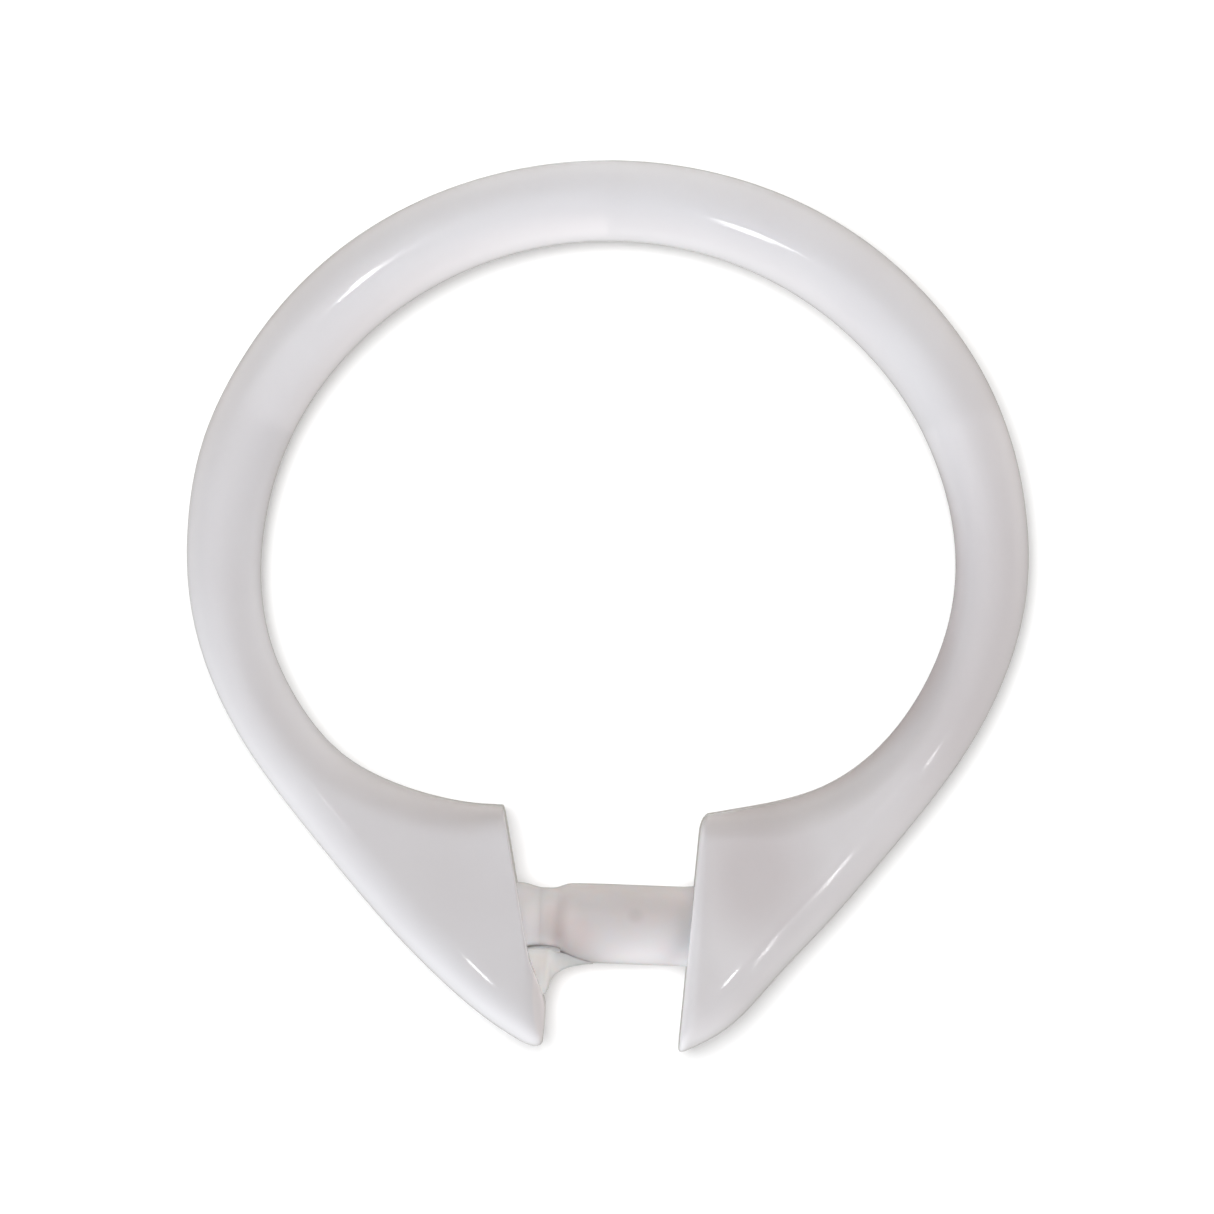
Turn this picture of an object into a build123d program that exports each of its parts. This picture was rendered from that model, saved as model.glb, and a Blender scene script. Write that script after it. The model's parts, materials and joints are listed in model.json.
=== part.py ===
from build123d import *
import os
from math import atan2, cos, degrees, hypot, radians, sin

# A snap-closing curtain ring. It lies flat, its crown towards +Y and its two
# horns towards -Y. The ring flexes at four stations, two on each side.

os.makedirs("parts", exist_ok=True)

# ---- driving sizes, in mm ----
mid_z = 4.25                # height of the ring's middle plane: half the horns' thickness
crown_tube_radius = 2.92    # the rod rides on the inside of this stretch
side_tube_radius = 2.60     # the tube thins towards the ring's widest points

# The tube's centre line is three tangent arcs on each side.
crown_arc_center = (0, 0.20)
crown_arc_radius = 28.63
shoulder_arc_center = (2.50, 3.00)
arm_arc_radius = 20.20
arm_arc_sweep = 35.0        # degrees below the widest point at which the horn starts

flex_angle = 35.0           # first flex station, in degrees from the crown's middle
flex_gap = 0.05             # running gap between a round link end and its seat

# Each horn grows from the tube to a mouth that leans. A row is a section:
# inner edge x, y, outer edge x, y, thickness, corner radius.
horn_corner = 2.85
pin_horn_rows = [
    (18.90, -10.25, 22.85, -14.05, 5.36, 2.60),
    (15.40, -12.70, 19.40, -18.30, 5.80, 2.75),
    (11.80, -14.02, 15.55, -22.75, 6.60, horn_corner),
    (9.30, -14.55, 11.75, -26.75, 7.50, horn_corner),
    (6.00, -14.95, 4.95, -31.90, 8.50, horn_corner),
]
socket_horn_rows = [
    (18.75, -10.35, 22.90, -14.00, 5.36, 2.60),
    (15.10, -12.62, 19.50, -18.30, 5.80, 2.75),
    (11.60, -13.78, 15.70, -22.75, 6.60, horn_corner),
    (9.30, -14.15, 11.80, -26.60, 7.50, horn_corner),
    (6.50, -14.30, 4.40, -31.35, 8.50, horn_corner),
]
pin_face = ((6.62, -14.88), (5.27, -31.60))         # top and bottom of the leaning end faces
socket_face = ((-7.55, -14.17), (-4.50, -30.60))

# The latch pin stands on the right horn's face and rises a little to its tip.
pin_root = (6.13, -22.85)
pin_rise = 2.2              # degrees
pin_radius = 2.83           # of the round stretch on which an eyelet hangs
pin_root_radius = 2.92
pin_shoulder_radius = 2.76
pin_overlap = 1.0           # length past the root, cut off again by the horn's face
neck_radius = 2.42
head_radius = 2.72
seat_start = 0.80           # stations along the pin from its root
seat_end = 6.80
shoulder_end = 9.20
neck_start = 9.60
neck_end = 11.24
head_start = 12.05
head_end = 14.60
tip_end = 15.20
tip_radius = 2.15

# The socket in the left horn, and the half-round lip that stands out under the pin.
socket_radius = 2.88
socket_depth = 15.90
lip_radius = 2.90
lip_outer_radius = 5.40
lip_shelf_radius = 4.15
lip_step = 10.15
lip_tip = 7.10
lip_spread = 84.0           # degrees round the pin
lip_root = 14.00
lip_edge = 0.06             # the lip's thickness at its tip
lip_waist = (8.90, 3.28)    # a point on the hollow underside, along and out from the pin
catch_radius = 2.55         # the catch stands up into the pin's neck
catch_start = 10.02
catch_end = 10.90
catch_slope = 0.20
catch_spread = 60.0

# ---- worked out ----
center_gap = hypot(shoulder_arc_center[0] - crown_arc_center[0],
                   shoulder_arc_center[1] - crown_arc_center[1])
shoulder_arc_radius = crown_arc_radius - center_gap
arc_change_angle = degrees(atan2(shoulder_arc_center[0] - crown_arc_center[0],
                                 shoulder_arc_center[1] - crown_arc_center[1]))
side_x = shoulder_arc_center[0] + shoulder_arc_radius
arm_arc_center = (side_x - arm_arc_radius, shoulder_arc_center[1])


def on_arc(center, radius, angle):
    """The point at an angle from +Y, clockwise, on an arc of the centre line."""
    x = center[0] + radius * sin(radians(angle))
    y = center[1] + radius * cos(radians(angle))
    return Vector(x, y, mid_z)


def tube_section(center, radius, angle, tube_radius):
    """A round section of the tube, square to an arc of its centre line."""
    along = (cos(radians(angle)), -sin(radians(angle)), 0)
    with BuildSketch(Plane(on_arc(center, radius, angle), z_dir=along)) as section:
        Circle(tube_radius)
    return section.sketch


crown_flex = on_arc(crown_arc_center, crown_arc_radius, flex_angle)
side_flex = on_arc(arm_arc_center, arm_arc_radius, 90)


def outside_knuckle(center, along, radius):
    """A tall solid past a flex station, all but the round end that turns there."""
    plane = Plane(Vector(center.X, center.Y, 0), x_dir=along, z_dir=(0, 0, 1))
    reach = 3 * radius
    with BuildPart() as cutter:
        with BuildSketch(plane):
            with Locations((reach / 2, 0)):
                Rectangle(reach, 2 * reach)
            Circle(radius, mode=Mode.SUBTRACT)
        extrude(amount=2 * mid_z)
    return cutter.part


def seat_cutter(center, radius):
    """A tall round solid that cuts the hollow end in which a link end turns."""
    with BuildPart() as cutter:
        with BuildSketch(Plane.XY):
            with Locations((center.X, center.Y)):
                Circle(radius + flex_gap)
        extrude(amount=2 * mid_z)
    return cutter.part


def mirrored(part):
    with BuildPart() as other:
        mirror(part, about=Plane.YZ)
    return other


def finish(builder, name):
    builder.part.label = name
    export_step(builder.part, f"parts/{name}.step")


# ---- crown: the stretch that rides on the rod, with a round end at each side ----
knuckle_turn = degrees(crown_tube_radius / crown_arc_radius)
crown_reach = flex_angle + knuckle_turn
crown_along = Vector(cos(radians(flex_angle)), -sin(radians(flex_angle)), 0)
crown_cutter = outside_knuckle(crown_flex, crown_along, crown_tube_radius)
with BuildPart() as crown:
    with BuildLine() as crown_line:
        ThreePointArc(
            on_arc(crown_arc_center, crown_arc_radius, -crown_reach),
            on_arc(crown_arc_center, crown_arc_radius, 0),
            on_arc(crown_arc_center, crown_arc_radius, crown_reach),
        )
    sweep(tube_section(crown_arc_center, crown_arc_radius, -crown_reach, crown_tube_radius),
          path=crown_line.line)
    add(crown_cutter, mode=Mode.SUBTRACT)
    add(crown_cutter.mirror(Plane.YZ), mode=Mode.SUBTRACT)
finish(crown, "crown")

# ---- shoulders: from the crown's flex station to the widest point ----
shoulder_reach = 90 + degrees(side_tube_radius / shoulder_arc_radius)
shoulder_cutter = outside_knuckle(side_flex, Vector(0, -1, 0), side_tube_radius)
with BuildPart() as right_shoulder:
    with BuildLine() as shoulder_line:
        ThreePointArc(
            on_arc(crown_arc_center, crown_arc_radius, flex_angle),
            on_arc(crown_arc_center, crown_arc_radius, (flex_angle + arc_change_angle) / 2),
            on_arc(crown_arc_center, crown_arc_radius, arc_change_angle),
        )
        ThreePointArc(
            on_arc(shoulder_arc_center, shoulder_arc_radius, arc_change_angle),
            on_arc(shoulder_arc_center, shoulder_arc_radius, (arc_change_angle + shoulder_reach) / 2),
            on_arc(shoulder_arc_center, shoulder_arc_radius, shoulder_reach),
        )
    sweep(
        [
            tube_section(crown_arc_center, crown_arc_radius, flex_angle, crown_tube_radius),
            tube_section(shoulder_arc_center, shoulder_arc_radius, shoulder_reach, side_tube_radius),
        ],
        path=shoulder_line.line,
        multisection=True,
    )
    add(seat_cutter(crown_flex, crown_tube_radius), mode=Mode.SUBTRACT)
    add(shoulder_cutter, mode=Mode.SUBTRACT)
finish(right_shoulder, "right_shoulder")
left_shoulder = mirrored(right_shoulder.part)
finish(left_shoulder, "left_shoulder")

# ---- arms: the thin sides, down to where the horns begin to flare ----
arm_end = 90 + arm_arc_sweep
with BuildPart() as right_arm:
    with BuildLine() as arm_line:
        ThreePointArc(
            on_arc(arm_arc_center, arm_arc_radius, 90),
            on_arc(arm_arc_center, arm_arc_radius, (90 + arm_end) / 2),
            on_arc(arm_arc_center, arm_arc_radius, arm_end),
        )
    sweep(tube_section(arm_arc_center, arm_arc_radius, 90, side_tube_radius), path=arm_line.line)
    add(seat_cutter(side_flex, side_tube_radius), mode=Mode.SUBTRACT)
finish(right_arm, "right_arm")
left_arm = mirrored(right_arm.part)
finish(left_arm, "left_arm")


# ---- horns: flat flares with round edges, cut off by a leaning face ----
def horn_sections(rows):
    """Rounded rectangles from the arm's end to the mouth, for a right-hand horn."""
    inner = on_arc(arm_arc_center, arm_arc_radius - side_tube_radius, arm_end)
    outer = on_arc(arm_arc_center, arm_arc_radius + side_tube_radius, arm_end)
    start = (inner.X, inner.Y, outer.X, outer.Y, 2 * side_tube_radius, 0.98 * side_tube_radius)
    sections = []
    for inner_x, inner_y, outer_x, outer_y, thickness, corner in [start] + rows:
        across = Vector(outer_x - inner_x, outer_y - inner_y, 0)
        middle = Vector((inner_x + outer_x) / 2, (inner_y + outer_y) / 2, mid_z)
        plane = Plane(middle, x_dir=across, z_dir=across.cross(Vector(0, 0, 1)))
        with BuildSketch(plane) as section:
            RectangleRounded(across.length, thickness, corner)
        sections.append(section.sketch)
    return sections


def face_plane(face, outward):
    """The plane of a leaning end face, its normal towards the gap."""
    top, bottom = face
    along = Vector(bottom[0] - top[0], bottom[1] - top[1], 0)
    normal = along.cross(Vector(0, 0, 1)).normalized()
    if normal.X * outward < 0:
        normal = -normal
    return Plane(Vector(top[0], top[1], mid_z), z_dir=normal)


pin_face_plane = face_plane(pin_face, -1)
socket_face_plane = face_plane(socket_face, 1)

with BuildPart() as pin_horn:
    loft(horn_sections(pin_horn_rows))
    split(bisect_by=pin_face_plane, keep=Keep.BOTTOM)
finish(pin_horn, "pin_horn")

# ---- the pin's own frame: x along the pin from root to tip, y outwards below it ----
pin_along = Vector(-cos(radians(pin_rise)), sin(radians(pin_rise)), 0)
pin_below = Vector(-sin(radians(pin_rise)), -cos(radians(pin_rise)), 0)
pin_origin = Vector(pin_root[0], pin_root[1], mid_z)
pin_frame = Plane(pin_origin, x_dir=pin_along, z_dir=pin_along.cross(pin_below))
pin_axis = Axis(pin_origin, pin_along)

# ---- latch pin: shaft, shoulder and neck ----
with BuildPart() as latch_pin:
    with BuildSketch(pin_frame):
        with BuildLine():
            Polyline(
                (-pin_overlap, 0), (-pin_overlap, pin_root_radius), (0, pin_root_radius),
                (seat_start, pin_radius), (seat_end, pin_radius),
                (shoulder_end, pin_shoulder_radius), (neck_start, neck_radius),
                (neck_end, neck_radius), (neck_end, 0), close=True,
            )
        make_face()
    revolve(axis=pin_axis)
    split(bisect_by=pin_face_plane, keep=Keep.TOP)
finish(latch_pin, "latch_pin")

# ---- pin head: the part that snaps into the socket ----
with BuildPart() as pin_head:
    with BuildSketch(pin_frame):
        with BuildLine():
            Polyline(
                (neck_end, 0), (neck_end, neck_radius), (head_start, head_radius),
                (head_end, head_radius), (tip_end, tip_radius), (tip_end, 0), close=True,
            )
        make_face()
    revolve(axis=pin_axis)
finish(pin_head, "pin_head")

# ---- socket horn, with the blind hole that takes the head ----
with BuildPart() as left_horn_blank:
    loft(horn_sections(socket_horn_rows))
with BuildPart() as socket_horn:
    mirror(left_horn_blank.part, about=Plane.YZ)
    split(bisect_by=socket_face_plane, keep=Keep.BOTTOM)
    mouth_plane = Plane(pin_origin, z_dir=pin_along)
    with BuildSketch(mouth_plane):
        Circle(socket_radius)
    extrude(amount=socket_depth, mode=Mode.SUBTRACT)
finish(socket_horn, "socket_horn")


# ---- lip and catch: bands round the pin's lower side ----
def plane_round_pin(angle):
    """The plane through the pin's axis, turned about it from straight below."""
    sideways = pin_along.cross(pin_below)
    out = pin_below * cos(radians(angle)) + sideways * sin(radians(angle))
    return Plane(pin_origin, x_dir=pin_along, z_dir=pin_along.cross(out))


with BuildPart() as socket_lip:
    with BuildSketch(plane_round_pin(-lip_spread / 2)):
        with BuildLine():
            Polyline(
                (lip_tip, lip_radius + lip_edge), (lip_tip, lip_radius), (lip_root, lip_radius),
                (lip_root, lip_outer_radius), (lip_step, lip_outer_radius),
                (lip_step, lip_shelf_radius),
            )
            ThreePointArc((lip_step, lip_shelf_radius), lip_waist, (lip_tip, lip_radius + lip_edge))
        make_face()
    revolve(axis=pin_axis, revolution_arc=lip_spread)
    split(bisect_by=socket_face_plane, keep=Keep.TOP)
finish(socket_lip, "socket_lip")

with BuildPart() as catch_ridge:
    with BuildSketch(plane_round_pin(-catch_spread / 2)):
        with BuildLine():
            Polyline(
                (catch_start, lip_radius), (catch_start + catch_slope, catch_radius),
                (catch_end - catch_slope, catch_radius), (catch_end, lip_radius), close=True,
            )
        make_face()
    revolve(axis=pin_axis, revolution_arc=catch_spread)
finish(catch_ridge, "catch_ridge")

whole = Compound(children=[
    crown.part, right_shoulder.part, left_shoulder.part, right_arm.part, left_arm.part,
    pin_horn.part, socket_horn.part, latch_pin.part, pin_head.part, socket_lip.part,
    catch_ridge.part,
])
box = whole.bounding_box()
print("x", round(box.min.X, 3), round(box.max.X, 3), "y", round(box.min.Y, 3), round(box.max.Y, 3),
      "z", round(box.min.Z, 3), round(box.max.Z, 3))
print("crown flex", crown_flex, "side flex", side_flex, "pin", pin_along)
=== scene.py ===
import json
from math import cos, hypot, pi, radians, sin, sqrt

import bpy
import numpy as np
from mathutils import Matrix, Vector


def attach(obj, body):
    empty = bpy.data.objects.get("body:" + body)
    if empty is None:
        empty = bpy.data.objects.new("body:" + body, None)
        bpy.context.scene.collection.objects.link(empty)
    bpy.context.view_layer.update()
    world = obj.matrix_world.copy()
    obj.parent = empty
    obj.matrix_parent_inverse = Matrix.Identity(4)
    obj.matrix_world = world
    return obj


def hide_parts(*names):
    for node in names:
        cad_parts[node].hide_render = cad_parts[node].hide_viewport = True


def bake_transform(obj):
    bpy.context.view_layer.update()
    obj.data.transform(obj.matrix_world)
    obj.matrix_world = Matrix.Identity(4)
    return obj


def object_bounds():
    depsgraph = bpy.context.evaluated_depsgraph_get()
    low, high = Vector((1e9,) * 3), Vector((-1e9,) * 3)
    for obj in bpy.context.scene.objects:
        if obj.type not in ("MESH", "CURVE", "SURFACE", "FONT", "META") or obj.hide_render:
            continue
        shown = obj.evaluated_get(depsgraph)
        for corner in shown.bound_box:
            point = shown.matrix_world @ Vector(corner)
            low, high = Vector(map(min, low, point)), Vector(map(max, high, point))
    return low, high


# A snap-closing curtain ring of white glossy plastic. The shapes are worked out in
# millimetres in the CAD frame and scaled to metres when a mesh is made.

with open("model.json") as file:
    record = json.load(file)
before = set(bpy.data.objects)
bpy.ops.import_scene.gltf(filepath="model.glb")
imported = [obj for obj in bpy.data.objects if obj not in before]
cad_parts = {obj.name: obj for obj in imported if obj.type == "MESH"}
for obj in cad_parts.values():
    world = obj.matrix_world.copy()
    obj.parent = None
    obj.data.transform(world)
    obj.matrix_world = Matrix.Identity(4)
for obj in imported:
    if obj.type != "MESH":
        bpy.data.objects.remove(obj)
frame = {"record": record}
cad_low, cad_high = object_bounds()
record = frame["record"]
mounts = {mount["name"]: mount for mount in record["mounts"]}

MM = 0.001
MID_Z = (cad_low.z + cad_high.z) / 2 / MM

# ---- the ring's outline, seen from above; the right side, mirrored for the left ----
TUBE_STEP = 12              # degrees between the tube's sections
TUBE_LAST = 120
# Section lines radiate from these centres, each up to its last angle from +Y.
SECTION_CENTERS = ((41.8, (0.0, 0.20)), (90.0, (2.50, 3.00)), (180.0, (7.176, 3.00)))
# Arcs of the outer and the inner edge: last angle, centre, radius.
OUTER_ARCS = ((23.7, (0.0, -0.57), 32.30), (90.0, (1.57, 3.00), 28.40), (180.0, (7.47, 3.00), 22.50))
INNER_ARCS = ((66.0, (0.0, 0.71), 25.26), (180.0, (6.83, 3.00), 17.90))
# Horn sections, from the arm to the mouth: inner edge x, y, outer edge x, y,
# thickness, inner and outer corner size.
PIN_HORN_ROWS = (
    (18.97, -10.33, 22.85, -14.05, 5.40, 2.66, 2.66),
    (15.46, -12.75, 19.40, -18.25, 5.85, 2.80, 2.90),
    (11.83, -13.92, 15.55, -22.65, 6.65, 2.80, 3.20),
    (9.32, -14.40, 11.75, -26.70, 7.50, 2.70, 3.50),
    (7.87, -14.66, 8.45, -30.05, 8.15, 2.60, 3.70),
    (6.63, -14.86, 4.98, -31.84, 8.49, 2.50, 3.80),
)
SOCKET_HORN_ROWS = (
    (18.90, -10.50, 22.90, -14.00, 5.40, 2.66, 2.66),
    (15.10, -12.60, 19.50, -18.25, 5.85, 2.80, 2.90),
    (11.60, -13.66, 15.75, -22.65, 6.65, 2.80, 3.20),
    (9.35, -14.04, 11.90, -26.58, 7.50, 2.70, 3.50),
    (8.30, -14.12, 8.25, -29.62, 8.15, 2.60, 3.70),
    (7.41, -14.18, 4.42, -31.95, 8.49, 2.50, 3.80),
)
# Small departures of the tube's edges from those arcs: angle from +Y, then outwards
# at the right outer, left outer, right inner and left inner edge.
EDGE_TRIM = (
    (0, 0.0, 0.0, 0.0, 0.0), (45, 0.07, 0.06, 0.0, 0.0), (60, 0.16, 0.13, 0.0, 0.0),
    (72, 0.12, 0.24, 0.07, 0.05), (84, 0.02, 0.08, 0.0, -0.08), (92, 0.0, -0.03, 0.0, -0.03),
    (102, -0.19, -0.10, 0.05, 0.08), (112, -0.22, -0.20, -0.04, 0.18), (120, -0.18, -0.15, 0.0, 0.18),
)
# Rounding of the mouths' rims: along the face from its inner to its outer end.
PIN_RIM = ((0.0, 0.06, 0.20, 0.88, 1.0), (1.15, 1.10, 0.93, 0.93, 0.35))
SOCKET_RIM = ((0.0, 0.60, 0.85, 1.0), (0.30, 0.30, 1.15, 1.30))
# The socket face swells below the lip: along the face, and how far towards the gap.
SOCKET_SWELL = ((0.0, 0.62, 0.72, 0.80, 0.90, 1.0), (0.0, 0.0, 0.45, 0.58, 0.25, 0.0))

AROUND = 128                # vertices round a section
ROW_SPACING = 0.5
RIM_STEPS = 10
SEAM_ANGLE = 65.0           # where the upper and lower skins meet, in degrees from +Y

# ---- pin, socket, lip and catch: stations along the pin's axis from its root ----
SEAT_MIDDLE = 3.80
PIN_PROFILE = (
    (-1.6, 2.95), (0.0, 2.92), (0.8, 2.83), (6.8, 2.83), (8.3, 2.81), (8.8, 2.79), (9.1, 2.74),
    (9.3, 2.67), (9.5, 2.59), (9.7, 2.51), (9.9, 2.45), (10.2, 2.42), (11.3, 2.42),
)
HEAD_PROFILE = (
    (10.5, 2.34), (11.0, 2.425), (11.3, 2.48), (11.6, 2.56), (11.9, 2.65), (12.2, 2.71),
    (12.5, 2.72), (14.6, 2.72), (15.2, 2.15),
)
SOCKET_RADIUS = 2.88
SOCKET_DEPTH = 15.9
SOCKET_CHAMFER = 0.22
# The lip's outer radius, and how far round the pin it reaches either way in degrees.
LIP_INNER = 2.86
LIP_OUTER = (
    (7.1, 7.8, 8.4, 8.9, 9.3, 9.7, 9.95, 10.1, 10.2, 10.4, 10.8, 11.5, 14.0),
    (2.90, 2.98, 3.09, 3.25, 3.44, 3.72, 4.0, 4.35, 4.75, 5.15, 5.38, 5.45, 5.45),
)
LIP_SPREAD = ((7.1, 8.0, 9.0, 10.3, 14.0), (12, 27, 40, 50, 50))
LIP_EDGE = 2.4              # how late the lip's thickness falls off towards its sides
CATCH_PROFILE = (
    (9.45, 3.0), (9.45, 2.66), (9.7, 2.53), (9.95, 2.45), (10.2, 2.41), (11.0, 2.43),
    (11.3, 2.49), (11.6, 2.57), (11.9, 2.67), (11.9, 3.0),
)
CATCH_SPREAD = 47


# ======== shapes ========
def first_reaching(entries, angle):
    """The first entry whose last angle isn't passed."""
    return next(entry for entry in entries if angle <= entry[0])


def ray_to_arc(origin, angle, center, radius):
    """Where a ray from origin, at an angle from +Y, leaves a circle."""
    direction = (sin(radians(angle)), cos(radians(angle)))
    x, y = origin[0] - center[0], origin[1] - center[1]
    along = x * direction[0] + y * direction[1]
    reach = -along + sqrt(along * along - x * x - y * y + radius * radius)
    return origin[0] + reach * direction[0], origin[1] + reach * direction[1]


def tube_row(angle, left=False):
    """A round section of the tube, on the right side."""
    origin = first_reaching(SECTION_CENTERS, angle)[1]
    outer_arc = first_reaching(OUTER_ARCS, angle)
    inner_arc = first_reaching(INNER_ARCS, angle)
    trims = np.array(EDGE_TRIM)
    outer_trim, inner_trim = (
        np.interp(angle, trims[:, 0], trims[:, column]) for column in ((2, 4) if left else (1, 3)))
    outer = ray_to_arc(origin, angle, outer_arc[1], outer_arc[2] + outer_trim)
    inner = ray_to_arc(origin, angle, inner_arc[1], inner_arc[2] + inner_trim)
    width = hypot(outer[0] - inner[0], outer[1] - inner[1])
    return (*inner, *outer, width, width / 2, width / 2)


def mirror_row(row):
    return (-row[0], row[1], -row[2], *row[3:])


class RowSpline:
    """A smooth curve through all the section rows, by distance along the ring's middle."""

    def __init__(self, rows):
        self.values = np.array(rows, float)
        middles = (self.values[:, 0:2] + self.values[:, 2:4]) / 2
        steps = np.linalg.norm(np.diff(middles, axis=0), axis=1)
        self.knots = np.concatenate(([0.0], np.cumsum(steps)))
        self.length = self.knots[-1]
        self.bends = self._second_derivatives(steps)

    def _second_derivatives(self, steps):
        """Of a natural cubic spline through the rows."""
        count = len(self.knots)
        matrix = np.eye(count)
        right = np.zeros_like(self.values)
        slopes = np.diff(self.values, axis=0) / steps[:, None]
        for i in range(1, count - 1):
            matrix[i, i - 1:i + 2] = steps[i - 1], 2 * (steps[i - 1] + steps[i]), steps[i]
            right[i] = 6 * (slopes[i] - slopes[i - 1])
        return np.linalg.solve(matrix, right)

    def __call__(self, distance):
        index = np.clip(np.searchsorted(self.knots, distance) - 1, 0, len(self.knots) - 2)
        step = (self.knots[index + 1] - self.knots[index])[..., None]
        b = (distance - self.knots[index])[..., None] / step
        a = 1 - b
        curve = (a ** 3 - a) * self.bends[index] + (b ** 3 - b) * self.bends[index + 1]
        return a * self.values[index] + b * self.values[index + 1] + curve * step * step / 6


# The corner of a section turns a quarter. Its curvature swells and fades, so that
# the flats run into it with no visible edge. This is the path at unit size.
CORNER_STEPS = 65
corner_share = np.linspace(0, 1, CORNER_STEPS)


def soft_corner(softness):
    """The corner's path (across, up), each from 0 to 1, and its length."""
    swelling = corner_share - softness * np.sin(2 * pi * corner_share) / (2 * pi)
    turned = pi / 2 * swelling
    across = np.concatenate(([0.0], np.cumsum((np.sin(turned[1:]) + np.sin(turned[:-1])) / 2)))
    up = np.concatenate(([0.0], np.cumsum((np.cos(turned[1:]) + np.cos(turned[:-1])) / 2)))
    length = (CORNER_STEPS - 1) / across[-1]
    return across / across[-1], up / up[-1], length


ROUND_CORNER = soft_corner(0.0)
SOFT_CORNER = soft_corner(0.85)


def corner_point(share, softness):
    """A point of the corner, between the round and the soft one."""
    mixed = []
    for plain, soft in zip(ROUND_CORNER[:2], SOFT_CORNER[:2]):
        plain_value = np.interp(share, corner_share, plain)
        mixed.append(plain_value + softness * (np.interp(share, corner_share, soft) - plain_value))
    return mixed


def section_point(row, turn):
    """The point of a section at a share of its girth, from the inner edge over the top."""
    inner, outer = row[..., 0:2], row[..., 2:4]
    width = np.linalg.norm(outer - inner, axis=-1)
    half_width, half_height = width / 2, row[..., 4] / 2
    limit = np.minimum(half_width, half_height)
    inner_corner = np.minimum(row[..., 5], limit)
    outer_corner = np.minimum(row[..., 6], limit)
    # A round section has no flats; a horn's soft corners take over as flats appear.
    softness = np.clip((half_width - limit) / limit, 0, 1)
    corner_length = ROUND_CORNER[2] + softness * (SOFT_CORNER[2] - ROUND_CORNER[2])
    lengths = [
        half_height - inner_corner, inner_corner * corner_length, width - inner_corner - outer_corner,
        outer_corner * corner_length, half_height - outer_corner,
    ]
    ends = np.cumsum(lengths, axis=0)
    along = 2 * np.minimum(turn, 1 - turn) * ends[4]
    first = corner_point(np.clip((along - ends[0]) / lengths[1], 0, 1), softness)
    second = corner_point(1 - np.clip((along - ends[2]) / lengths[3], 0, 1), softness)
    across = np.where(
        along < ends[1], -half_width + inner_corner * first[0],
        np.where(along < ends[2], -half_width + inner_corner + along - ends[1],
                 half_width - outer_corner * second[0]))
    up = np.where(
        along < ends[0], along,
        np.where(along < ends[1], half_height - inner_corner + inner_corner * first[1],
                 np.where(along < ends[2], half_height,
                          np.where(along < ends[3], half_height - outer_corner + outer_corner * second[1],
                                   ends[4] - along))))
    up = np.where(turn <= 0.5, up, -up)
    direction = (outer - inner) / width[..., None]
    flat = (inner + outer) / 2 + direction * across[..., None]
    return np.concatenate((flat, (MID_Z + up)[..., None]), axis=-1), across / half_width


tube_angles = range(0, TUBE_LAST + 1, TUBE_STEP)
tube_rows = [tube_row(angle) for angle in tube_angles]
left_tube_rows = [tube_row(angle, left=True) for angle in tube_angles[1:]]
left_rows = [mirror_row(row) for row in (*left_tube_rows, *SOCKET_HORN_ROWS)]
ring_rows = RowSpline([*reversed(left_rows), *tube_rows, *PIN_HORN_ROWS])
turns = np.arange(AROUND) / AROUND


def end_normal(row, outward):
    """The horizontal normal of a section's plane, towards +X or -X."""
    normal = np.array((row[3] - row[1], row[0] - row[2], 0.0))
    return normal / np.linalg.norm(normal) * (1 if normal[0] * outward > 0 else -1)


def rim(end, inwards, rounding, outward, swell=((0.0, 1.0), (0.0, 0.0))):
    """The rings that round a mouth's rim, from the horn's wall to the flat face."""
    row = ring_rows(np.array(end))
    outline, share = section_point(row[None, :], turns)
    radius = np.interp((share + 1) / 2, *rounding)
    push = np.interp((share + 1) / 2, *swell)
    tangent = np.roll(outline, -1, axis=0) - np.roll(outline, 1, axis=0)
    normal = end_normal(row, outward)
    inset = np.cross(tangent, normal)
    inset /= np.linalg.norm(inset, axis=1)[:, None]
    inset *= np.sign(np.sum(inset * (outline.mean(axis=0) - outline), axis=1))[:, None]
    rings = []
    for step in range(RIM_STEPS + 1):
        angle = pi / 2 * step / RIM_STEPS
        where = end + inwards * radius * (1 - sin(angle))
        ring, _ = section_point(ring_rows(where), turns)
        ring = ring + inset * (radius * (1 - cos(angle)))[:, None]
        rings.append(ring + normal * (push * sin(angle))[:, None])
    return rings, normal


def seam_distance(angle):
    """How far along the ring a tube section at an angle from +Y lies."""
    middle = tube_row(angle)
    target = np.array(((middle[0] + middle[2]) / 2, (middle[1] + middle[3]) / 2))
    fine = np.linspace(ring_rows.length / 2, ring_rows.length, 4001)
    rows = ring_rows(fine)
    gaps = np.linalg.norm((rows[:, 0:2] + rows[:, 2:4]) / 2 - target, axis=1)
    return fine[np.argmin(gaps)]


def crown_distance():
    """How far along the ring its crown's middle lies."""
    return ring_rows.knots[len(left_rows)]


crown_at = crown_distance()
right_seam = seam_distance(SEAM_ANGLE)
left_seam = 2 * crown_at - right_seam


def evenly(start, end):
    """Distances from start to end, about ROW_SPACING apart."""
    return np.linspace(start, end, max(2, round((end - start) / ROW_SPACING) + 1))


left_rings, left_face_normal = rim(0.0, 1, SOCKET_RIM, 1, SOCKET_SWELL)
right_rings, right_face_normal = rim(ring_rows.length, -1, PIN_RIM, -1)
rim_reach = max(max(PIN_RIM[1]), max(SOCKET_RIM[1]))

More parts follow.
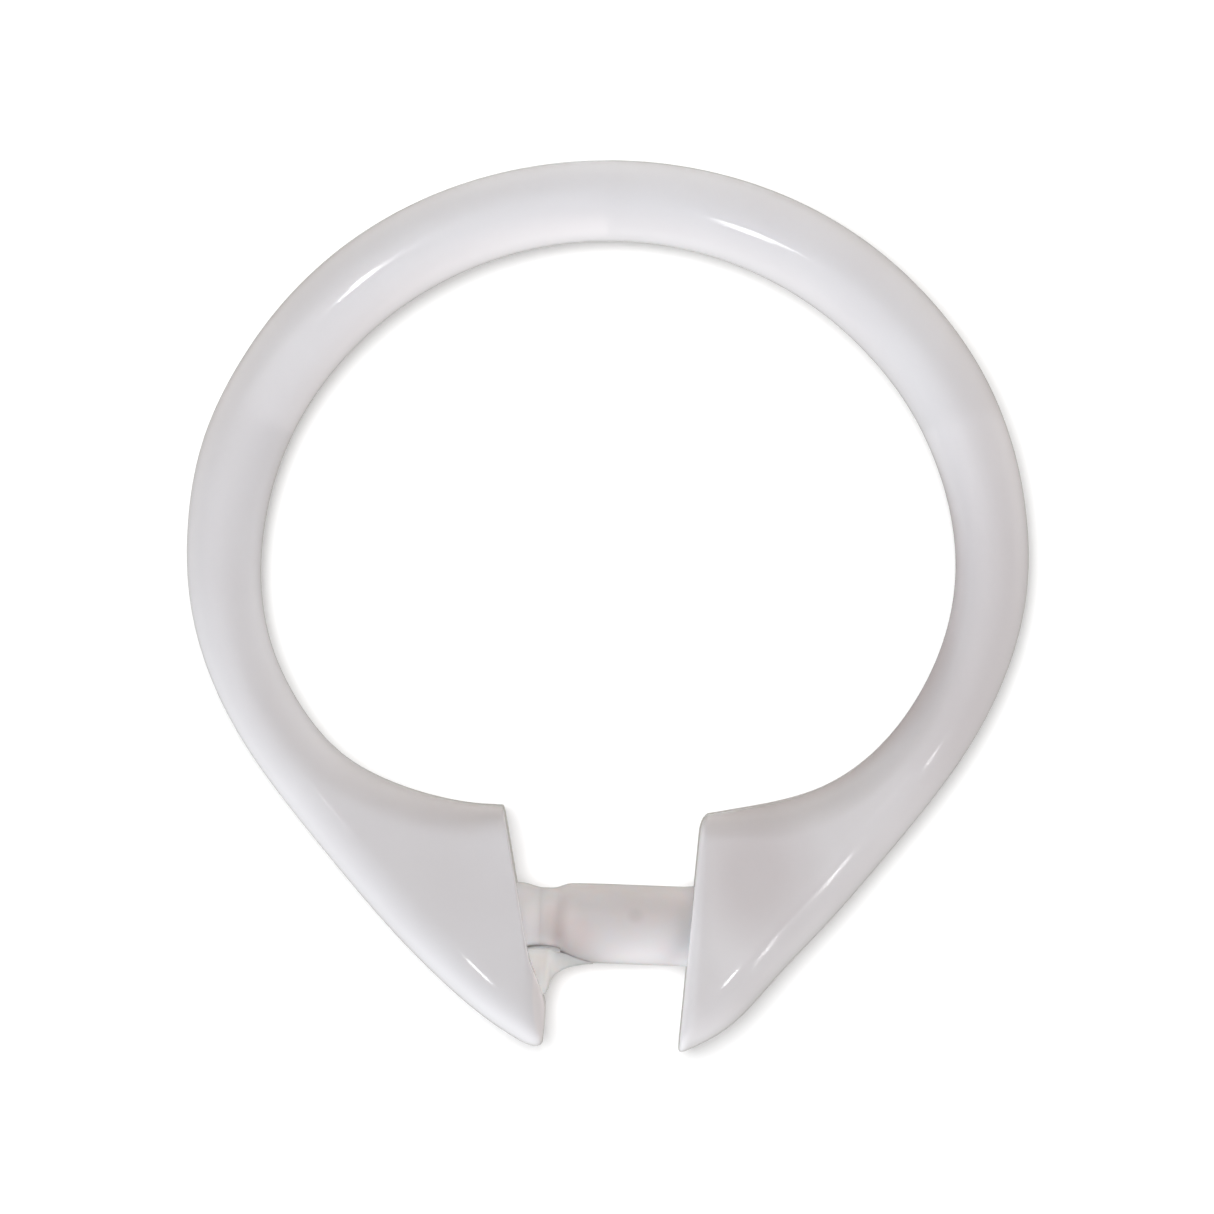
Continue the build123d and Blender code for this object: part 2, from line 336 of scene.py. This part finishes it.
stretches = [
    evenly(2 * rim_reach, left_seam), evenly(left_seam, crown_at),
    evenly(crown_at, right_seam), evenly(right_seam, ring_rows.length - 2 * rim_reach),
]
body_distances = np.concatenate([stretches[0], *[stretch[1:] for stretch in stretches[1:]]])
body_rings = [section_point(ring_rows(np.full(AROUND, where)), turns)[0] for where in body_distances]
# The first stretch past a rim runs from its own depth at each vertex to an even row.
EASE_ROWS = 4


def ease(rim_ring_distance, to):
    return [rim_ring_distance + (to - rim_ring_distance) * step / EASE_ROWS for step in range(1, EASE_ROWS)]


def rim_depth(rounding, end):
    row = ring_rows(np.array(end))
    share = section_point(row[None, :], turns)[1]
    return np.interp((share + 1) / 2, *rounding)


left_ease = [section_point(ring_rows(where), turns)[0]
             for where in ease(rim_depth(SOCKET_RIM, 0.0), stretches[0][0])]
right_ease = [section_point(ring_rows(where), turns)[0]
              for where in ease(ring_rows.length - rim_depth(PIN_RIM, ring_rows.length), stretches[3][-1])]

all_rings = np.array([*reversed(left_rings), *left_ease, *body_rings, *reversed(right_ease), *right_rings])
first_body = len(left_rings) + len(left_ease)
left_seam_row = first_body + len(stretches[0]) - 1
crown_row = left_seam_row + len(stretches[1]) - 1
right_seam_row = crown_row + len(stretches[2]) - 1

# Normals of the whole ring, so that neighbouring skins shade alike at a seam.
along_ring = np.gradient(all_rings, axis=0)
round_ring = np.roll(all_rings, -1, axis=1) - np.roll(all_rings, 1, axis=1)
ring_normals = np.cross(along_ring, round_ring)
ring_normals /= np.linalg.norm(ring_normals, axis=2)[:, :, None]
outwards = np.sum(ring_normals * (all_rings - all_rings.mean(axis=1)[:, None, :]), axis=2)
ring_normals *= np.sign(outwards)[:, :, None]
ring_normals[-1] = right_face_normal


def make_mesh(name, points, faces, normals=None, sharp=()):
    """A mesh object from points in mm. normals maps a face's number to its corners' normals."""
    mesh = bpy.data.meshes.new(name)
    scaled = np.array(points, float) * MM
    mesh.from_pydata(scaled.tolist(), [], faces)
    mesh.shade_smooth()
    if sharp:
        for edge in mesh.edges:
            if tuple(sorted(edge.vertices)) in sharp:
                edge.use_edge_sharp = True
    if normals:
        corner_normals = []
        for number, face in enumerate(faces):
            corner_normals.extend(normals.get(number, [(0.0, 0.0, 0.0)] * len(face)))
        mesh.normals_split_custom_set(corner_normals)
    mesh.validate()
    piece = bpy.data.objects.new(name, mesh)
    bpy.context.scene.collection.objects.link(piece)
    return piece


def ring_edges(start):
    """The edges of a ring of vertices that starts at a number."""
    return {tuple(sorted((start + i, start + (i + 1) % AROUND))) for i in range(AROUND)}


def skin(name, first, last, mouth=None):
    """A stretch of the ring as a closed mesh. mouth adds the faces of an open end."""
    rings = all_rings[first:last + 1]
    points = rings.reshape(-1, 3).tolist()
    corner = ring_normals[first:last + 1].reshape(-1, 3)
    faces, normals = [], {}
    for row in range(len(rings) - 1):
        for i in range(AROUND):
            j = (i + 1) % AROUND
            a, b = row * AROUND, (row + 1) * AROUND
            face = (a + i, b + i, b + j, a + j)
            normals[len(faces)] = [tuple(corner[k]) for k in face]
            faces.append(face)
    sharp = set()
    last_start = (len(rings) - 1) * AROUND
    for start, at_start in ((0, True), (last_start, False)):
        if mouth and mouth["at_start"] == at_start:
            mouth["build"](points, faces, start, at_start, sharp)
            continue
        cap = list(range(start, start + AROUND))
        faces.append(tuple(cap) if at_start else tuple(reversed(cap)))
        sharp |= ring_edges(start)
    return make_mesh(name, points, faces, normals, sharp)


# ---- the pin's frame ----
seat = mounts["latch_pin_seat"]
pin_along = np.array(seat["axis"], float)
pin_root = np.array(seat["pos_m"], float) / MM - pin_along * SEAT_MIDDLE
pin_up = np.array((0.0, 0.0, 1.0))
pin_below = np.cross(pin_along, pin_up)
pin_below *= -np.sign(pin_below[1])


def round_pin(station, radius, angle):
    """A point round the pin's axis; angle 0 is straight below it, on the tip's side of +Z."""
    out = pin_below * cos(angle) + pin_up * sin(angle)
    return pin_root + pin_along * station + out * radius


def plain_mouth(points, faces, start, at_start, sharp):
    """A flat face, tangent to the rounded rim."""
    cap = list(range(start, start + AROUND))
    faces.append(tuple(cap) if at_start else tuple(reversed(cap)))


def socket_mouth(points, faces, start, at_start, sharp):
    """A flat face with the blind hole that takes the pin's head."""
    outline = np.array(points[start:start + AROUND])
    face_point = outline[0]
    def on_face(angle, radius):
        flat = round_pin(0.0, radius, angle)
        reach = np.dot(face_point - flat, left_face_normal) / np.dot(pin_along, left_face_normal)
        return flat + pin_along * reach, reach
    middle = on_face(0.0, 0.0)[0]
    offsets = outline - middle
    angles = np.arctan2(offsets @ pin_up, offsets @ pin_below)
    rings = []
    edge = [on_face(angle, SOCKET_RADIUS + SOCKET_CHAMFER) for angle in angles]
    rings.append([point for point, _ in edge])
    rings.append([round_pin(on_face(angle, SOCKET_RADIUS)[1] + SOCKET_CHAMFER, SOCKET_RADIUS, angle)
                  for angle in angles])
    rings.append([round_pin(SOCKET_DEPTH, SOCKET_RADIUS, angle) for angle in angles])
    before = start
    for ring in rings:
        here = len(points)
        points.extend(np.array(ring).tolist())
        for i in range(AROUND):
            j = (i + 1) % AROUND
            face = (here + i, before + i, before + j, here + j)
            faces.append(face)
        sharp.update(ring_edges(here))
        before = here
    faces.append(tuple(range(before, before + AROUND)))


left_lower = skin("left_lower_ring", 0, left_seam_row, {"at_start": True, "build": socket_mouth})
left_upper = skin("left_upper_ring", left_seam_row, crown_row)
right_upper = skin("right_upper_ring", crown_row, right_seam_row)
right_lower = skin("right_lower_ring", right_seam_row, len(all_rings) - 1,
                   {"at_start": False, "build": plain_mouth})


def turned_solid(name, profile, segments=96):
    """A closed solid turned about the pin's axis from (station, radius) pairs."""
    points, faces = [], []
    for station, radius in profile:
        for i in range(segments):
            points.append(round_pin(station, radius, 2 * pi * i / segments))
    for row in range(len(profile) - 1):
        for i in range(segments):
            j = (i + 1) % segments
            a, b = row * segments, (row + 1) * segments
            faces.append((a + i, a + j, b + j, b + i))
    last = (len(profile) - 1) * segments
    faces.append(tuple(reversed(range(segments))))
    faces.append(tuple(range(last, last + segments)))
    return make_mesh(name, points, faces)


def band(name, profile, half_spread, steps):
    """A closed band round the lower side of the pin, from a loop of (station, radius) pairs."""
    count = len(profile)
    points, faces = [], []
    for step in range(steps + 1):
        angle = radians(half_spread) * (2 * step / steps - 1)
        points.extend(round_pin(station, radius, angle) for station, radius in profile)
    for step in range(steps):
        for i in range(count):
            j = (i + 1) % count
            a, b = step * count, (step + 1) * count
            faces.append((a + i, a + j, b + j, b + i))
    faces.append(tuple(reversed(range(count))))
    faces.append(tuple(range(steps * count, (steps + 1) * count)))
    return make_mesh(name, points, faces)


LIP_STATIONS = 70
LIP_TURNS = 40


def tongue(name):
    """The lip: a curved tongue under the pin that thickens into the socket's face. Each
    section runs round its outside and comes back along its inside."""
    points, faces = [], []
    count = 2 * LIP_TURNS
    stations = np.linspace(LIP_OUTER[0][0], LIP_OUTER[0][-1], LIP_STATIONS)
    for station in stations:
        spread = radians(np.interp(station, *LIP_SPREAD))
        thickness = np.interp(station, *LIP_OUTER) - LIP_INNER
        for i in range(count):
            share = cos(2 * pi * i / count)
            bulge = sqrt(max(0.0, 1 - abs(share) ** LIP_EDGE)) if i <= LIP_TURNS else 0.0
            points.append(round_pin(station, LIP_INNER + thickness * bulge, spread * share))
    for row in range(LIP_STATIONS - 1):
        for i in range(count):
            j = (i + 1) % count
            a, b = row * count, (row + 1) * count
            faces.append((a + i, b + i, b + j, a + j))
    last = (LIP_STATIONS - 1) * count
    faces.append(tuple(range(count)))
    faces.append(tuple(reversed(range(last, last + count))))
    return make_mesh(name, points, faces)


def soften(piece, width, angle, segments=3):
    """Rounds a piece's edges."""
    bevel = piece.modifiers.new("rounding", "BEVEL")
    bevel.width = width * MM
    bevel.segments = segments
    bevel.limit_method = "ANGLE"
    bevel.angle_limit = radians(angle)
    bevel.use_clamp_overlap = True
    bevel.harden_normals = True


latch_pin = turned_solid("latch_pin_shaft", PIN_PROFILE)
pin_head = turned_solid("latch_pin_head", HEAD_PROFILE)
lip = tongue("socket_lip_tongue")
catch = band("catch_ridge_rib", CATCH_PROFILE, CATCH_SPREAD, 32)
for piece, width, angle in ((latch_pin, 0.06, 25), (pin_head, 0.12, 25), (catch, 0.03, 30)):
    soften(piece, width, angle)


# ======== materials ========
class Tint:
    """A soft-edged patch of another colour, used to paint shade and light onto the plastic: a centre and
    reaches in mm, how much it covers at most, and how much of its reach the soft edge takes."""

    def __init__(self, color, center, reach, cover, softness=0.8):
        self.color, self.center, self.reach = color, center, reach
        self.cover, self.softness = cover, softness

    def add(self, tree, place, below):
        """Lays the patch over a colour socket and returns the result's socket."""
        nodes, links = tree.nodes, tree.links
        shift = nodes.new("ShaderNodeVectorMath")
        shift.operation = "SUBTRACT"
        shift.inputs[1].default_value = [value * MM for value in self.center]
        scale = nodes.new("ShaderNodeVectorMath")
        scale.operation = "DIVIDE"
        scale.inputs[1].default_value = [value * MM for value in self.reach]
        size = nodes.new("ShaderNodeVectorMath")
        size.operation = "LENGTH"
        fade = nodes.new("ShaderNodeMapRange")
        fade.interpolation_type = "SMOOTHSTEP"
        fade.inputs["From Min"].default_value = 1 - self.softness
        fade.inputs["From Max"].default_value = 1.0
        fade.inputs["To Min"].default_value = self.cover
        fade.inputs["To Max"].default_value = 0.0
        mix = nodes.new("ShaderNodeMix")
        mix.data_type = "RGBA"
        mix.inputs["B"].default_value = (*self.color, 1)
        links.new(place, shift.inputs[0])
        links.new(shift.outputs["Vector"], scale.inputs[0])
        links.new(scale.outputs["Vector"], size.inputs[0])
        links.new(size.outputs["Value"], fade.inputs["Value"])
        links.new(fade.outputs["Result"], mix.inputs["Factor"])
        links.new(below, mix.inputs["A"])
        return mix.outputs["Result"]


def moulded_plastic(name, pale, warm, roughness, subsurface, tints=()):
    """Glossy moulded plastic: faint clouding in colour, and a shine that varies a little. Tints are laid
    over the colour; here they are painted shade and light, and one small grey spot.
    """
    material = bpy.data.materials.new(name)
    material.use_nodes = True
    nodes, links = material.node_tree.nodes, material.node_tree.links
    shader = nodes["Principled BSDF"]
    place = nodes.new("ShaderNodeTexCoord")

    clouds = nodes.new("ShaderNodeTexNoise")
    clouds.inputs["Scale"].default_value = 130
    clouds.inputs["Detail"].default_value = 3
    mix = nodes.new("ShaderNodeMix")
    mix.data_type = "RGBA"
    mix.inputs["A"].default_value = (*pale, 1)
    mix.inputs["B"].default_value = (*warm, 1)
    links.new(place.outputs["Object"], clouds.inputs["Vector"])
    links.new(clouds.outputs["Fac"], mix.inputs["Factor"])
    color = mix.outputs["Result"]
    for tint in tints:
        color = tint.add(material.node_tree, place.outputs["Object"], color)
    links.new(color, shader.inputs["Base Color"])

    smears = nodes.new("ShaderNodeTexNoise")
    smears.inputs["Scale"].default_value = 420
    smears.inputs["Detail"].default_value = 4
    spread = nodes.new("ShaderNodeMapRange")
    spread.inputs["To Min"].default_value = roughness * 0.8
    spread.inputs["To Max"].default_value = roughness * 1.25
    links.new(place.outputs["Object"], smears.inputs["Vector"])
    links.new(smears.outputs["Fac"], spread.inputs["Value"])
    links.new(spread.outputs["Result"], shader.inputs["Roughness"])

    waves = nodes.new("ShaderNodeTexNoise")
    waves.inputs["Scale"].default_value = 260
    waves.inputs["Detail"].default_value = 5
    waves.inputs["Roughness"].default_value = 0.45
    bump = nodes.new("ShaderNodeBump")
    bump.inputs["Strength"].default_value = 0.25
    bump.inputs["Distance"].default_value = 0.00004
    links.new(place.outputs["Object"], waves.inputs["Vector"])
    links.new(waves.outputs["Fac"], bump.inputs["Height"])
    links.new(bump.outputs["Normal"], shader.inputs["Normal"])

    shader.inputs["IOR"].default_value = 1.49
    if subsurface:
        shader.inputs["Subsurface Weight"].default_value = subsurface
        shader.inputs["Subsurface Radius"].default_value = (1.0, 0.62, 0.48)
        shader.inputs["Subsurface Scale"].default_value = 0.0016
    return material


# Reddish painted shade: the socket horn's shadow on the pin by its head, warmed like light through the
# plastic.
PAINTED_RED_SHADE = (0.86, 0.70, 0.67)
# Brownish painted shade for the socket face's rounded rim strip, which turns away from the light.
PAINTED_FACE_SHADE = (0.84, 0.79, 0.78)
# Greyer painted shade for the horns' flats, the right arm and the inner walls.
SHADE = (0.52, 0.46, 0.46)
# A small grey spot on top of the pin.
GREY_SPOT = (0.60, 0.58, 0.58)
# Whitish painted light for the pin by its head.
PAINTED_PIN_LIGHT = (0.97, 0.97, 0.98)
# Painted shade on the ring: the socket face's rim strip, darker horn flats, a darker right arm and dark
# crescents along the inner walls.
ring_painted_shade = (
    # Painted shade on the socket face's rim strip below the lip.
    Tint(PAINTED_FACE_SHADE, (-4.4, -27.5, MID_Z + 1.0), (1.15, 4.2, 9.0), 0.85, 0.22),
    # Painted shade: the horns' flats, the right arm's middle, and the inner walls of both sides.
    Tint(SHADE, (-9.5, -19.5, MID_Z + 4.0), (6.0, 6.0, 4.0), 0.10),
    Tint(SHADE, (10.5, -19.0, MID_Z + 4.0), (6.0, 7.0, 4.0), 0.44),
    Tint(SHADE, (24.5, -1.0, MID_Z + 3.0), (7.5, 18.0, 8.0), 0.34),
    Tint(SHADE, (8.4, 2.1, MID_Z), (17.4, 17.4, 40.0), 0.90, 0.08),
    Tint(SHADE, (-7.6, 3.2, MID_Z), (17.8, 17.8, 40.0), 0.35, 0.08),
)
pin_tints = (
    # Painted light: the pin is made lighter and whiter by its head, under the painted shade.
    Tint(PAINTED_PIN_LIGHT, (-4.0, -22.6, MID_Z + 2.5), (2.6, 2.8, 4.0), 0.90),
    # Painted shade, reddish: the socket horn's shadow on the pin, and the shaded neck beside it.
    Tint(PAINTED_RED_SHADE, (-3.8, -22.6, MID_Z + 2.5), (2.8, 2.6, 4.0), 0.50),
    Tint(PAINTED_RED_SHADE, (-1.9, -23.4, MID_Z + 2.5), (1.7, 1.9, 4.0), 0.36),
    Tint(GREY_SPOT, (1.95, -21.95, MID_Z + 2.8), (0.8, 0.7, 2.0), 0.4),
)
ring_plastic = moulded_plastic(
    "ring_plastic", (0.80, 0.78, 0.79), (0.75, 0.72, 0.73), 0.07, 0.0, ring_painted_shade)
pin_plastic = moulded_plastic(
    "pin_plastic", (0.80, 0.78, 0.79), (0.76, 0.72, 0.72), 0.16, 0.35, pin_tints)
# The lip and catch take a lighter, warmer copy of the ring's plastic: painted light for the lit top of the
# lip.
lip_plastic_painted_light = moulded_plastic("lip_plastic_painted_light", (0.90, 0.87, 0.85), (0.87, 0.83, 0.81), 0.20, 0.35)

RING_PIECES = (left_lower, left_upper, right_upper, right_lower)
for piece in RING_PIECES:
    piece.data.materials.append(ring_plastic)
for piece in (latch_pin, pin_head):
    piece.data.materials.append(pin_plastic)
for piece in (lip, catch):
    piece.data.materials.append(lip_plastic_painted_light)


def bend_upper(piece):
    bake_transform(piece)


def bend_lower(piece):
    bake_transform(piece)


bend_upper(left_upper)
bend_upper(right_upper)
bend_lower(left_lower)
bend_lower(right_lower)
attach(latch_pin, "pin_side")
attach(pin_head, "pin_side")
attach(lip, "socket_side")
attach(catch, "socket_side")

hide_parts("crown", "left_shoulder")
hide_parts("crown", "right_shoulder")
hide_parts("left_arm", "socket_horn")
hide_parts("right_arm", "pin_horn")
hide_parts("latch_pin")
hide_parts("pin_head")
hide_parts("socket_lip")
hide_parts("catch_ridge")

# ======== floor, camera and light ========
FLOOR_HALF = 1.5
floor_mesh = bpy.data.meshes.new("floor")
floor_mesh.from_pydata(
    [(-FLOOR_HALF, -FLOOR_HALF, 0), (FLOOR_HALF, -FLOOR_HALF, 0), (FLOOR_HALF, FLOOR_HALF, 0),
     (-FLOOR_HALF, FLOOR_HALF, 0)], [], [(0, 1, 2, 3)])
floor = bpy.data.objects.new("floor", floor_mesh)
bpy.context.scene.collection.objects.link(floor)
# The white floor is only a backdrop: it neither lights the ring nor shades it from below.
floor.visible_diffuse = False
floor.visible_glossy = False
floor.visible_shadow = False
floor_paper = bpy.data.materials.new("floor_paper")
floor_paper.use_nodes = True
paper = floor_paper.node_tree.nodes["Principled BSDF"]
paper.inputs["Base Color"].default_value = (0.95, 0.95, 0.95, 1)
paper.inputs["Roughness"].default_value = 0.9
paper.inputs["Specular IOR Level"].default_value = 0.0
floor.data.materials.append(floor_paper)

CAMERA_HEIGHT = 600
VIEW_WIDTH = 86.43
VIEW_CENTER = (-0.07, -0.07)
camera_data = bpy.data.cameras.new("camera")
camera_data.sensor_width = 36
camera_data.lens = camera_data.sensor_width * (CAMERA_HEIGHT - MID_Z) / VIEW_WIDTH
camera_data.clip_start = 0.01
camera = bpy.data.objects.new("camera", camera_data)
camera.location = (VIEW_CENTER[0] * MM, VIEW_CENTER[1] * MM, CAMERA_HEIGHT * MM)
bpy.context.scene.collection.objects.link(camera)
bpy.context.scene.camera = camera
bpy.context.scene.view_settings.view_transform = "Standard"

# The room is dark above the ring and dimly lit below it.
FROM_BELOW = (0.40, 0.39, 0.36)
HORIZON_FADE = 0.06
world = bpy.data.worlds.new("studio")
world.use_nodes = True
room, room_links = world.node_tree.nodes, world.node_tree.links
room["Background"].inputs["Color"].default_value = (*FROM_BELOW, 1)
room_place = room.new("ShaderNodeTexCoord")
room_axes = room.new("ShaderNodeSeparateXYZ")
room_fade = room.new("ShaderNodeMapRange")
room_fade.inputs["From Min"].default_value = -HORIZON_FADE
room_fade.inputs["From Max"].default_value = HORIZON_FADE
room_fade.inputs["To Min"].default_value = 1.0
room_fade.inputs["To Max"].default_value = 0.0
room_links.new(room_place.outputs["Generated"], room_axes.inputs["Vector"])
room_links.new(room_axes.outputs["Z"], room_fade.inputs["Value"])
room_links.new(room_fade.outputs["Result"], room["Background"].inputs["Strength"])
bpy.context.scene.world = world


def light_group(name, lit):
    """What a lamp shines on, if it leaves out the rest."""
    group = bpy.data.collections.new(name)
    for piece in lit:
        group.objects.link(piece)
    return group


floor_group = light_group("lit_floor", (floor,))
ring_group = light_group("lit_ring", (*RING_PIECES, latch_pin, pin_head, lip, catch))


def area_lamp(name, place, towards, size, size_along, power, color, level=None):
    """A rectangular lamp at a place, facing along a direction. level is its long side's direction."""
    light = bpy.data.lights.new(name, "AREA")
    light.shape = "RECTANGLE"
    light.size = size_along
    light.size_y = size
    light.energy = power
    light.color = color
    holder = bpy.data.objects.new(name, light)
    back = -Vector(towards).normalized()
    if level is None:
        turn = back.to_track_quat("Z", "Y")
    else:
        side = (Vector(level) - back * back.dot(Vector(level))).normalized()
        turn = Matrix((side, back.cross(side), back)).transposed().to_quaternion()
    holder.location = place
    holder.rotation_mode = "QUATERNION"
    holder.rotation_quaternion = turn
    bpy.context.scene.collection.objects.link(holder)
    return holder


FAR = 0.9
FAR_SIZE = 0.5


def far_lamp(name, azimuth, elevation, power, color, group=ring_group):
    """A big soft light, by azimuth clockwise from +Y and elevation, in degrees. It gives
    the ring its shading and isn't mirrored in the gloss."""
    azimuth, elevation = radians(azimuth), radians(elevation)
    out = Vector((sin(azimuth) * cos(elevation), cos(azimuth) * cos(elevation), sin(elevation)))
    holder = area_lamp(name, out * FAR, -out, FAR_SIZE, FAR_SIZE, power, color)
    holder.visible_glossy = False
    holder.light_linking.receiver_collection = group


NEAR_SIZE = 0.06


def near_lamp(name, place, power, color):
    """A small soft light close to the ring, at a place in mm."""
    place = Vector(place) * MM
    holder = area_lamp(name, place, -place, NEAR_SIZE, NEAR_SIZE, power, color)
    holder.visible_glossy = False
    holder.light_linking.receiver_collection = ring_group


far_lamp("key_low_left", 225, 12, 8.0, (0.95, 1.0, 1.04))
far_lamp("warm_low_top", 0, 12, 2.2, (1.25, 1.0, 0.77))
far_lamp("fill_right", 135, 35, 4.9, (1.0, 1.0, 1.01))
near_lamp("over_crown", (0, 60, 150), 0.045, (0.98, 0.92, 0.88))
near_lamp("beside_left", (-120, 40, 60), 0.012, (1.0, 0.9, 0.9))
near_lamp("beside_right", (120, 40, 60), 0.009, (1.0, 0.9, 0.9))
near_lamp("behind_crown", (0, 110, 60), 0.046, (0.82, 1.0, 1.15))

# A light for the floor alone keeps it white; only the ring's contact shadow shows.
far_lamp("floor_white", 320, 84, 11.6, (1, 1, 1), floor_group)

GLINT_DISTANCE = 0.5
GLINT_POINTS = 24           # how many points round a spot show how the surface turns there


def mirrored_view(spot):
    """Where the camera's view of a spot (x, y in mm) of the ring's upper side is mirrored
    to, and how that swings with x and y (one column for each)."""
    upper = ring_normals[:, :, 2] > 0.1
    points, normals = all_rings[upper], ring_normals[upper]
    nearest = np.argsort(np.linalg.norm(points[:, :2] - np.array(spot), axis=1))[:GLINT_POINTS]
    points, normals = points[nearest], normals[nearest]
    views = np.array(camera.location) / MM - points
    views /= np.linalg.norm(views, axis=1)[:, None]
    rays = 2 * np.sum(views * normals, axis=1)[:, None] * normals - views
    offsets = np.column_stack((np.ones(len(points)), points[:, :2] - np.array(spot)))
    fitted = np.linalg.lstsq(offsets, rays, rcond=None)[0]
    return Vector(fitted[0]).normalized(), fitted[1:].T, Vector(points[0]) * MM


def glint(name, piece, spot, length, width, brightness):
    """A small lamp that shines back from a spot (x, y in mm) of a piece of the ring as a
    streak. The streak lies along the least curved way, so its length and width become the
    lamp's sides through the least and the strongest swing of the mirrored view."""
    out, swings, point = mirrored_view(spot)
    directions, strengths, _ = np.linalg.svd(swings, full_matrices=False)
    across = strengths[0] * width * GLINT_DISTANCE
    along = strengths[1] * length * GLINT_DISTANCE
    power = brightness * pi * along * across
    holder = area_lamp(name, point + out * GLINT_DISTANCE, -out, across, along, power, (1, 1, 1),
                       directions[:, 1])
    holder.visible_diffuse = False
    holder.light_linking.receiver_collection = light_group(name, (piece,))


glint("streak_crown_left", left_upper, (-17.4, 23.12), 1.0, 0.28, 45.0)
glint("streak_crown_right", right_upper, (10.1, 26.45), 2.6, 0.30, 18.0)
glint("streak_pin_horn", right_lower, (15.6, -19.5), 1.2, 0.26, 30.0)
glint("streak_pin_tip", right_lower, (8.5, -26.05), 1.8, 0.16, 30.0)
glint("streak_socket_horn", left_lower, (-9.0, -25.6), 2.3, 0.20, 16.0)
